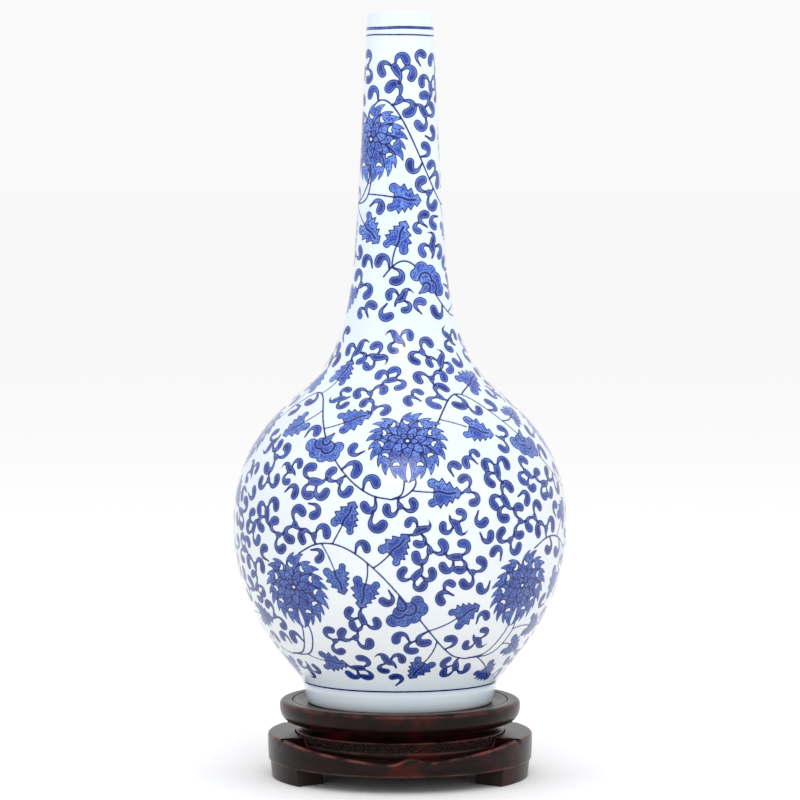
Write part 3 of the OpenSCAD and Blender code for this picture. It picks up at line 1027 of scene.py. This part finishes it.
def make_base():
    """Base plate whose rim is cut down between two lobes, with a notch at each end of a lobe."""
    columns = 1440
    deg = np.arange(columns) * 360 / columns
    edge = apron_top(deg)
    notch = np.zeros(columns)
    for at in NOTCHES:
        off = (deg - at + 180) % 360 - 180
        notch = np.maximum(notch, 1 - np.abs(off) / NOTCH_HALF)
    notch = np.clip(notch, 0, 1)
    step = eased(np.clip((np.abs(off_scoop(deg)) - SCOOP_HALF + 6.0) / 7.0, 0, 1))
    floor = FLOOR_Z + 0.6
    rim = WAIST_R + 0.5
    edge_r = 1.6

    def level(value):
        return np.full(columns, float(value))

    # each ring: its radius and its height at every angle
    low = level(BASE_LOW)
    inner_top = floor + (LOBE_TOP - floor) * step
    # the scooped floor runs from the waist down to the apron's edge; the lobes are flat
    rings = [(level(0), low), (level(52), low), (level(BASE_R - 1.1), low),
             (level(BASE_R - 0.7), low + 0.2), (level(BASE_R - 0.4), low + 0.8)]
    for t in (0.15, 0.3, 0.45, 0.6, 0.75):
        bulge = BASE_R - 0.4 * (1 - t) ** 2
        rings.append((level(bulge), low + 1.2 + (edge - edge_r - low - 1.2) * t))
    for r, up in rounded((BASE_R - edge_r, -edge_r), edge_r, 0, 90, 7):
        rings.append((level(r), edge + up))
    for t in (0.12, 0.3, 0.5, 0.7, 0.85):
        r = BASE_R - edge_r - (BASE_R - edge_r - rim) * t
        dish = edge + (inner_top - edge) * eased(t)
        straight = edge * (1 - t) + inner_top * t
        rings.append((level(r), np.where(step > 0, np.maximum(dish, straight), dish)))
    rings += [(level(rim), inner_top), (level(rim), level(FLOOR_Z)), (level(30), level(FLOOR_Z)),
              (level(0), level(FLOOR_Z))]
    flat = [(r[0], z[0]) for r, z in rings]
    piece = turned("base_plate_scooped", flat, columns, sharp=38)
    places = read_places(piece.data).reshape(-1, 3)
    body = places[:-2].reshape(len(rings) - 2, columns, 3)
    for i, (r, z) in enumerate(rings[1:-1]):
        near_edge = np.clip((r - (BASE_R - 8)) / 8, 0, 1)
        cut = NOTCH_DEPTH * notch * near_edge ** 0.7
        height = np.maximum(np.where(z > BASE_LOW + 6, z - cut * np.clip((z - BASE_LOW - 9) / 6, 0, 1), z),
                            np.minimum(z, BASE_LOW + 5))
        body[i, :, 2] = height * MM
    places[:-2] = body.reshape(-1, 3)
    write_places(piece.data, places)
    piece.data.set_sharp_from_angle(angle=math.radians(38))
    finish_wood(piece, "base_plate")


def make_foot(node, middle):
    """A foot block sawn from a ring, with edges rounded by wear and rough sawn sides."""
    half, thickness, high = 15.0, 19.5, BASE_LOW
    outer_r = BASE_R - 1.0
    inner_r = outer_r - thickness
    angles = np.radians(np.linspace(-half, half, 13) + middle)
    top = high - 0.05
    section = [(inner_r, 0.6), (inner_r + 0.6, 0.0), (outer_r - 1.8, 0.0), (outer_r - 1.2, 0.4),
               (outer_r - 0.9, 1.2), (outer_r, top), (outer_r - 4, top), (inner_r, top)]
    places, quads = [], []
    for angle in angles:
        places += [(r * math.sin(angle), -r * math.cos(angle), z) for r, z in section]
    size = len(section)
    for a in range(len(angles) - 1):
        for i in range(size):
            j = (i + 1) % size
            quads.append((a * size + i, (a + 1) * size + i, (a + 1) * size + j, a * size + j))
    last = (len(angles) - 1) * size
    ends = np.array([list(range(size)), [last + i for i in reversed(range(size))]])
    mesh = new_mesh(node + "_sawn", places, [np.array(quads), ends], 30)
    finish_wood(new_piece(node + "_sawn", mesh), node)
    mesh.materials.append(rough_cut)
    for i in (len(mesh.polygons) - 2, len(mesh.polygons) - 1):
        mesh.polygons[i].material_index = 1


make_top_ring()
make_top_panel()
make_waist()
make_base()
for node, middle in (("foot_front_left", -66), ("foot_front_right", 66), ("foot_back_left", -114),
                     ("foot_back_right", 114)):
    make_foot(node, middle)
for node, make in (("foot_dowels", make_bare_wood), ("assembly_screws", make_screw_metal)):
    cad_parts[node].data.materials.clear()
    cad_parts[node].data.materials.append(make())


# ------ floor, light and camera
def make_floor():
    reach = 60.0 / MM
    corners = [(-reach, -reach, 0), (reach, -reach, 0), (reach, reach, 0), (-reach, reach, 0)]
    mesh = new_mesh("studio_floor", corners, [np.array([[0, 1, 2, 3]])])
    piece = new_piece("studio_floor", mesh)
    n = Nodes("pale_floor")
    n.set(Base_Color=(0.985, 0.985, 0.985, 1.0), Roughness=0.9)
    mesh.materials.append(n.material)


def make_light(name, place, aim, size, power):
    light = bpy.data.lights.new(name, "AREA")
    light.shape, light.size, light.size_y = "RECTANGLE", size[0], size[1]
    light.energy = power
    lamp = bpy.data.objects.new(name, light)
    lamp.location = place
    lamp.rotation_euler = (Vector(aim) - Vector(place)).to_track_quat("-Z", "Y").to_euler()
    bpy.context.scene.collection.objects.link(lamp)


def make_world():
    world = bpy.data.worlds.new("studio")
    bpy.context.scene.world = world
    world.use_nodes = True
    background = world.node_tree.nodes["Background"]
    background.inputs["Color"].default_value = (1.0, 1.0, 1.0, 1.0)
    background.inputs["Strength"].default_value = 0.95


def make_camera():
    camera = bpy.data.objects.new("camera", bpy.data.cameras.new("camera"))
    camera.data.lens, camera.data.sensor_width = 167.0, 36.0
    camera.location = (0.0, -2.15, 0.3517)
    aim = Vector((0.0, 0.0, 0.2187))
    camera.rotation_euler = (aim - camera.location).to_track_quat("-Z", "Y").to_euler()
    bpy.context.scene.collection.objects.link(camera)
    bpy.context.scene.camera = camera


bpy.context.scene.view_settings.view_transform = "Standard"
make_floor()
make_world()
make_light("key", (0.1, -1.5, 1.55), aim=(0, 0, 0.25), size=(0.75, 0.75), power=8)
make_light("fill_left", (-1.4, -0.9, 1.0), aim=(0, 0, 0.25), size=(0.8, 1.2), power=2)
make_light("fill_right", (1.3, -1.0, 0.9), aim=(0, 0, 0.25), size=(0.8, 1.2), power=2.5)
make_light("top", (0, 0.2, 1.8), aim=(0, 0, 0.2), size=(1.2, 1.2), power=3)
make_camera()
